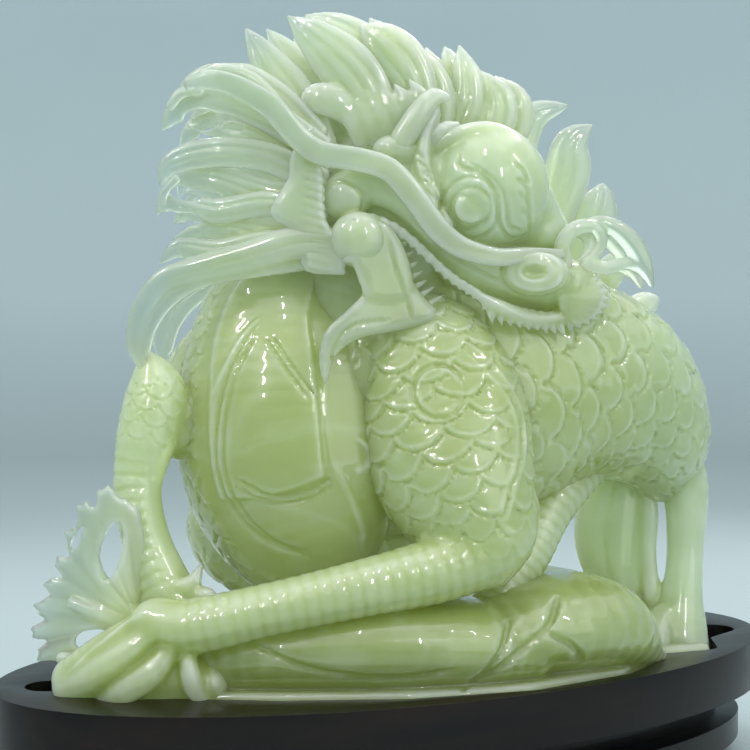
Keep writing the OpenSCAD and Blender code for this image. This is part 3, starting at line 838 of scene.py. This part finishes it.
def make_crest():
    clay = Clay((-78, -50, 200), (60, MID_Y, 283), 0.88, mirrored=True)
    clay.sweep([(-24, -12, 212, 16, 24), (-4, -12, 228, 18, 20), (0, -12, 244, 17, 14),
                (-8, -12, 258, 12, 8)], soft=4)
    side = [([(-32, 212), (-45, 236), (-57, 253), (-68, 270)], -33, 10, 3.4, 2),
            ([(-20, 216), (-36, 244), (-49, 258), (-60, 272)], -22, 9, 3.4, 2),
            ([(-8, 222), (-20, 246), (-34, 261), (-50, 274)], -38, 12, 3.8, 3),
            ([(2, 226), (-12, 252), (-27, 267), (-43, 277)], -26, 13, 4, 3),
            ([(8, 232), (0, 252), (-10, 264), (-20, 271)], -33, 11, 4.4, 2),
            ([(6, 228), (5, 246), (-5, 262), (-18, 273)], -20, 11, 4.4, 2),
            ([(12, 224), (13, 240), (7, 254), (-6, 267)], -26, 8, 4, 1),
            ([(16, 226), (14, 246), (8, 265)], -17, 8, 3, 1),
            ([(18, 222), (26, 244), (22, 265)], -22, 8, 3.6, 1),
            ([(30, 220), (38, 238), (32, 254)], -20, 10, 3.6, 2),
            ([(40, 218), (46, 238), (38, 253)], -15, 9, 3.6, 1),
            ([(-36, 206), (-48, 222), (-57, 240), (-64, 254)], -27, 9, 3.4, 2)]
    for points, y, half_width, half_depth, strands in side:
        clay.lock([(x, y + 3 * (z - 240) / 60, z) for x, z in points],
                  half_width, half_depth, strands + 1, soft=1.2, depth=0.32)
    middle = [([(-10, 226), (-26, 254), (-42, 279)], 11, 2),
              ([(6, 228), (0, 256), (-16, 278)], 11, 2),
              ([(-26, 214), (-44, 246), (-60, 271)], 11, 2),
              ([(22, 222), (24, 246), (16, 266)], 9, 1)]
    for points, half_width, strands in middle:
        clay.lock([(x, -12, z) for x, z in points], half_width, 5, strands + 1, soft=1.2,
                  depth=0.32)
    clay.lock([(-20, -38, 230), (-30, -40, 238), (-39, -40, 240), (-44, -38, 236)], 7, 3.5, 1)
    for k in range(6):
        clay.lock([(-20 + 6 * k, -38, 222 + k), (-23 + 6 * k, -40.5, 230 + 1.5 * k),
                   (-30 + 6 * k, -39.5, 238 + 2 * k)], 4, 2.2, 1, soft=2, root=0.9)
    finish_clay("crest_stone", clay, ["near_crest", "middle_crest", "far_crest", "nape_locks"],
                slot="pale_jade")


def make_mane(name, nodes, far):
    clay = Clay((-118, -62, 122), (-22, -26, 254), 0.75)
    fan = [([(-38, 224), (-54, 240), (-72, 249), (-88, 247), (-97, 239)], -42, 5.5, 2),
           ([(-36, 218), (-56, 231), (-78, 240), (-95, 235), (-102, 227)], -45, 6, 3),
           ([(-36, 210), (-56, 219), (-76, 228), (-92, 229)], -41, 6, 3),
           ([(-36, 205), (-58, 215), (-80, 217), (-98, 213), (-103, 204)], -46, 5.5, 2),
           ([(-36, 198), (-60, 200), (-82, 207), (-100, 206)], -42, 6, 3),
           ([(-36, 191), (-58, 196), (-80, 193), (-98, 197), (-105, 192)], -46, 4.5, 2),
           ([(-36, 184), (-56, 183), (-78, 187), (-98, 182)], -42, 5.5, 3),
           ([(-36, 179), (-58, 180), (-80, 176), (-95, 178), (-103, 172)], -45, 4.5, 2)]
    for points, y, half_width, strands in fan:
        clay.lock([(x, y - 0.05 * (x + 36) + 1.2 * math.sin(x / 9), z) for x, z in points],
                  half_width + 1, 2.6, strands + 1, soft=0.8, root=0.9, tip=0.1, depth=0.34)
    clay.sweep([(-96, -46, 206, 2, 1.8), (-101, -46, 200, 2, 1.8), (-102, -46, 194, 2, 1.8)],
               soft=1)
    clay.sweep([(-98, -46, 236, 2, 1.8), (-94, -46, 241, 2.4, 1.8), (-86, -46, 243, 2.6, 1.8)],
               soft=1)
    for at, half in [((-86, 231), (7.5, 4.4)), ((-73, 228), (4.5, 2.4)), ((-92, 200), (6.5, 2.6)),
                     ((-92, 190), (6.5, 2.4))]:
        clay.egg((at[0], -44, at[1]), (half[0], 14, half[1]), soft=0.8, cut=True, tilt=-6)
    clay.sweep([(-30, -50, 180, 6, 4), (-49, -50, 179, 7, 3.4), (-69, -50, 173, 6.5, 2.8),
                (-90, -50, 168, 5.5, 2.4), (-102, -50, 163, 5, 2.2), (-110, -50, 152, 4.4, 2),
                (-113, -48, 138, 3.6, 1.9), (-109, -46, 127, 2, 1.8)],
               profile=strand_profile(2, 0.25), soft=0.8)
    clay.sweep([(-38, -46, 174, 5, 3), (-65, -48, 170, 5, 2.4), (-84, -48, 166, 4.4, 2.2),
                (-98, -48, 157, 3.6, 2), (-106, -48, 146, 3, 1.8), (-109, -47, 134, 2, 1.7)],
               profile=strand_profile(2, 0.25), soft=0.8)
    if far:
        clay.field = clay.field[:, ::-1]
        clay.low[1] = 2 * MID_Y - (clay.low[1] + clay.step * (clay.field.shape[1] - 1))
    finish_clay(name, clay, nodes, slot="pale_jade")


def make_flames():
    clay = Clay((34, -4, 86), (146, 66, 248), 0.8)
    for points, half_width, y in [
            ([(44, 206), (50, 222), (53, 234), (60, 241), (72, 244)], 8, 10),
            ([(60, 176), (66, 196), (73, 214), (75, 228), (84, 236)], 11, 17),
            ([(72, 164), (82, 186), (88, 200), (90, 210)], 11, 22),
            ([(86, 156), (96, 172), (104, 178)], 7, 28),
            ([(100, 142), (110, 154), (118, 158)], 7, 34),
            ([(108, 122), (120, 134), (128, 138)], 6, 40),
            ([(114, 100), (126, 110), (134, 114)], 6, 44)]:
        clay.lock([(x, y, z) for x, z in points], half_width, 4, 2, soft=1, root=0.9)
    finish_clay("flame_stone", clay, ["back_flames", "back_spines"], slot="pale_jade")


make_body()
make_chest()
make_near_foreleg()
make_far_foreleg()
make_frill()
make_hind_legs()
make_rocks()
make_head()
make_jaw()
make_face_trim()
make_crest()
make_mane("mane_near_stone", ["near_mane", "near_long_lock"], far=False)
make_mane("mane_far_stone", ["far_mane", "far_long_lock"], far=True)
make_flames()


# ---- materials ----

def grey(value):
    return (value, value, value)


class Nodes:
    """Short calls for building a node material."""

    def __init__(self, name):
        self.material = bpy.data.materials.new(name)
        self.material.use_nodes = True
        self.tree = self.material.node_tree
        self.shader = self.tree.nodes["Principled BSDF"]
        self.place = self.add("ShaderNodeTexCoord").outputs["Object"]

    def add(self, kind, inputs=None, **props):
        """A node whose inputs are linked to a socket or set to a value."""
        node = self.tree.nodes.new(kind)
        for key, value in props.items():
            setattr(node, key, value)
        for key, value in (inputs or {}).items():
            if isinstance(value, bpy.types.NodeSocket):
                self.tree.links.new(value, node.inputs[key])
            else:
                node.inputs[key].default_value = value
        return node

    def set(self, **values):
        for key, value in values.items():
            self.shader.inputs[key.replace("_", " ")].default_value = value

    def link(self, socket, key):
        self.tree.links.new(socket, self.shader.inputs[key])

    def attribute(self, name):
        return self.add("ShaderNodeAttribute", attribute_name=name).outputs["Fac"]

    def noise(self, scale, detail, stretch=(1, 1, 1), **inputs):
        place = self.add("ShaderNodeMapping", {"Vector": self.place, "Scale": stretch})
        return self.add("ShaderNodeTexNoise", {"Vector": place.outputs[0], "Scale": scale,
                                               "Detail": detail, **inputs}).outputs["Fac"]

    def along(self, axis):
        return self.add("ShaderNodeSeparateXYZ", {"Vector": self.place}).outputs[axis]

    def ramp(self, factor, *stops):
        node = self.add("ShaderNodeValToRGB", {"Fac": factor})
        elements = node.color_ramp.elements
        while len(elements) < len(stops):
            elements.new(0.5)
        for element, (position, colour) in zip(elements, stops):
            element.position = position
            element.color = (*colour, 1)
        return node.outputs["Color"]

    def mask(self, factor, none_at, all_at):
        """0 at one value of the factor and 1 at the other."""
        return self.ramp(factor, *sorted([(none_at, grey(0)), (all_at, grey(1))]))

    def mix(self, factor, a, b, blend="MIX"):
        """Goes from socket a to b, which is a socket or a colour."""
        if not isinstance(b, bpy.types.NodeSocket):
            b = (*b, 1)
        return self.add("ShaderNodeMix", {0: factor, 6: a, 7: b},
                        data_type="RGBA", blend_type=blend).outputs[2]

    def math(self, operation, a, b):
        return self.add("ShaderNodeMath", {0: a, 1: b}, operation=operation).outputs[0]

    def times(self, a, b):
        return self.math("MULTIPLY", a, b)

    def bump(self, height, strength, distance):
        node = self.add("ShaderNodeBump", {"Height": height, "Strength": strength,
                                           "Distance": distance})
        self.link(node.outputs[0], "Normal")


def jade_material(name, shade_tint):
    m = Nodes(name)
    clouds = m.noise(20, 4)
    depth = m.math("ADD", m.attribute("bulk"), m.times(m.math("SUBTRACT", clouds, 0.5), 0.30))
    stone = m.ramp(depth, (0.04, (0.50, 0.62, 0.56)), (0.14, (0.47, 0.57, 0.41)),
                   (0.34, (0.54, 0.64, 0.35)), (0.62, (0.45, 0.54, 0.20)))
    occlusion_shade = m.mask(m.attribute("occlusion_shade"), 0.32, 0.74)
    # painted light: the upper parts and the hind end are painted paler, standing in for more light
    # on them
    upper = m.mask(m.along("Z"), 0.19, 0.25)
    hind = m.mask(m.along("X"), 0.07, 0.12)
    painted_light_share = m.times(m.math("MAXIMUM", upper, hind), 0.36)
    # painted shade: deep hollows turn dark olive, as shade in creases would
    crease_shade = m.mask(m.attribute("hollow"), 0.52, 0.66)
    # painted highlight: raised edges turn near white, more so where the stone is thick
    edge = m.mask(m.attribute("hollow"), 0.485, 0.36)
    # painted shade: where much stone stands round the surface, the colour turns dark olive, as if
    # shaded
    stone = m.mix(m.times(occlusion_shade, 0.8), stone, (0.38, 0.45, 0.11))
    stone = m.mix(painted_light_share, stone, (0.555, 0.69, 0.56))
    stone = m.mix(m.times(crease_shade, 0.4), stone, (0.39, 0.46, 0.13))
    solid = m.ramp(m.attribute("bulk"), (0.05, grey(0.15)), (0.35, grey(0.45)))
    stone = m.mix(m.times(edge, solid), stone, (0.84, 0.92, 0.82))
    veins = m.ramp(m.noise(9, 6, (1, 1, 1.6), Distortion=1.4), (0.44, grey(0)), (0.5, grey(1)),
                   (0.56, grey(0)))
    stone = m.mix(m.times(veins, 0.15), stone, (0.76, 0.86, 0.70))
    # painted shade: the shade tint darkens the shaded copy of the jade
    stone = m.mix(1.0, stone, shade_tint, "MULTIPLY")
    m.link(stone, "Base Color")
    # painted light: the stone also glows faintly in its own colour (Emission Strength below),
    # which lifts its shade
    m.link(stone, "Emission Color")
    thin = m.ramp(m.attribute("bulk"), (0.02, grey(0.9)), (0.35, grey(0.45)))
    m.link(thin, "Transmission Weight")
    m.set(Roughness=0.30, IOR=1.42, Coat_Weight=1.0, Coat_Roughness=0.05, Coat_IOR=1.55,
          Subsurface_Weight=1.0, Subsurface_Scale=0.032, Emission_Strength=0.07)
    m.shader.inputs["Subsurface Radius"].default_value = (1.0, 1.0, 0.75)
    m.bump(m.noise(260, 2), 0.04, 0.0006)
    return m.material


def wood_material():
    m = Nodes("dark_lacquered_wood")
    grain = m.noise(70, 6, (0.12, 1, 1), Distortion=0.4)
    pores = m.noise(900, 2, (0.05, 1, 1))
    colour = m.ramp(grain, (0.35, (0.003, 0.002, 0.002)), (0.6, (0.008, 0.004, 0.003)),
                    (0.8, (0.016, 0.007, 0.005)))
    m.link(colour, "Base Color")
    rough = m.ramp(grain, (0.3, grey(0.30)), (0.8, grey(0.42)))
    m.link(rough, "Roughness")
    m.set(IOR=1.45, Specular_IOR_Level=0.2, Coat_Weight=0.22, Coat_Roughness=0.1)
    m.bump(m.math("ADD", m.times(pores, 0.5), grain), 0.12, 0.0008)
    return m.material


def brass_material():
    m = Nodes("dull_brass")
    m.link(m.ramp(m.noise(300, 3), (0.3, (0.30, 0.21, 0.09)), (0.7, (0.45, 0.34, 0.16))),
           "Base Color")
    m.set(Metallic=1.0, Roughness=0.42)
    return m.material


def backdrop_material():
    m = Nodes("pale_backdrop")
    # painted shade: the floor is painted darker than the wall, to take down the light that falls
    # on it
    colour = m.ramp(m.along("Z"), (0.0, (0.36, 0.43, 0.44)), (0.25, (0.49, 0.585, 0.605)),
                    (0.9, (0.555, 0.665, 0.685)))
    mottle = m.ramp(m.noise(2, 2), (0.3, grey(0.97)), (0.7, grey(1)))
    m.link(m.mix(1.0, colour, mottle, "MULTIPLY"), "Base Color")
    m.set(Roughness=0.8)
    return m.material


jade = jade_material("polished_jade", (1, 1, 1))
# painted shade: a darker, more olive copy of the jade for the rocks, which lie in shade under the
# forearm
shaded_jade = jade_material("shaded_jade", (0.80, 0.82, 0.68))
wood = wood_material()
settle_stone(jade, shaded_jade, {"rock_stone"})


# ---- stand ----

def eased_copy(node, name, radius, segments=4):
    """A copy of a board with its sharp edges rounded, as a finished board has them."""
    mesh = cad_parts[node].data.copy()
    mesh.name = name
    built = bmesh.new()
    built.from_mesh(mesh)
    bmesh.ops.remove_doubles(built, verts=built.verts, dist=1e-6)
    bmesh.ops.dissolve_limit(built, angle_limit=FLAT, verts=built.verts, edges=built.edges)
    sharp = [e for e in built.edges
             if len(e.link_faces) == 2 and e.calc_face_angle(0) > SHARP]
    bmesh.ops.bevel(built, geom=sharp, offset=radius, segments=segments, profile=0.5,
                    affect="EDGES", clamp_overlap=True)
    built.to_mesh(mesh)
    built.free()
    mesh.materials.clear()
    mesh.materials.append(wood)
    mesh.shade_smooth()
    mesh.set_sharp_from_angle(angle=SHARP_SHADING)
    piece = add_object(name, mesh)
    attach(piece, "stand")
    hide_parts(node)


for node, radius in [("top_plate", 2.2), ("waist", 1.2), ("plinth", 2.2)]:
    eased_copy(node, node + "_board", radius * MM)
for node in ("foot_front_left", "foot_front_right", "foot_rear_left", "foot_rear_right"):
    eased_copy(node, node + "_turned", 0.5 * MM, 2)
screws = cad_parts["stand_screws"]
screws.data.materials.clear()
screws.data.materials.append(brass_material())


# ---- stage, light and camera ----

def add_stage():
    """A round floor that curves up into a low wall on every side."""
    middle, radius, bend, rise = 0.6, 2.4, 0.8, 1.7  # in metres
    turns, bend_steps = 96, 14
    profile = [(middle, 0.0), (radius - bend, 0.0)]
    profile += [(radius - bend + bend * math.sin(a), bend - bend * math.cos(a))
                for a in np.linspace(0.1, math.pi / 2, bend_steps)]
    profile += [(radius, rise)]
    verts = [(0.0, 0.0, 0.0)]
    verts += [(r * math.cos(a), r * math.sin(a), z) for r, z in profile
              for a in np.linspace(0, 2 * math.pi, turns, endpoint=False)]
    faces = [(0, 1 + k, 1 + (k + 1) % turns) for k in range(turns)]
    for i in range(len(profile) - 1):
        inner, outer = 1 + i * turns, 1 + (i + 1) * turns
        faces += [(inner + k, outer + k, outer + (k + 1) % turns, inner + (k + 1) % turns)
                  for k in range(turns)]
    mesh = bpy.data.meshes.new("stage")
    mesh.from_pydata(verts, [], faces)
    mesh.shade_smooth()
    mesh.materials.append(backdrop_material())
    stage = add_object("stage", mesh)


def add_light(name, at, size, power, gloss=True):
    """A white area light at a place in the carving's frame, turned to the carving."""
    data = bpy.data.lights.new(name, "AREA")
    data.shape = "RECTANGLE"
    data.size, data.size_y = size[0] * MM, size[1] * MM
    data.energy = power
    light = add_object(name, data)
    place = to_frame @ (Vector(at) * MM)
    goal = to_frame @ (Vector(LIGHT_AIM) * MM)
    light.location = place
    light.visible_glossy = gloss
    light.rotation_euler = (goal - place).to_track_quat("-Z", "Y").to_euler()


def add_camera():
    data = bpy.data.cameras.new("camera")
    data.sensor_width = 36
    data.angle = CAMERA_ANGLE
    camera = add_object("camera", data)
    turn = Matrix.Rotation(CAMERA_TURN, 4, "X")
    camera.matrix_world = to_frame @ Matrix.Translation(Vector(CAMERA_PLACE) * MM) @ turn
    bpy.context.scene.camera = camera


def light_room():
    """Even light from all round."""
    world = bpy.data.worlds.new("room")
    world.use_nodes = True
    background = world.node_tree.nodes["Background"]
    background.inputs["Color"].default_value = ROOM_COLOUR
    background.inputs["Strength"].default_value = ROOM_STRENGTH
    bpy.context.scene.world = world


add_stage()
add_light("key", (-450, -600, 900), (420, 420), 1.8, gloss=False)
add_light("fill", (700, -700, 400), (700, 700), 1.7)
add_light("top", (60, -20, 900), (700, 700), 1.5)
add_light("rim", (500, 600, 500), (600, 600), 2.2, gloss=False)
add_light("rim_left", (-600, 400, 350), (500, 500), 1.2, gloss=False)
for number, place in enumerate([(-260, -620, 520), (240, -640, 460), (-40, -420, 800),
                                (420, -300, 600), (-420, -300, 560),
                                (-200, 300, 800), (330, 260, 760)]):
    add_light("spark_%d" % number, place, SPARK_SIZE, SPARK_POWER)
light_room()
bpy.context.scene.view_settings.view_transform = "Standard"
add_camera()
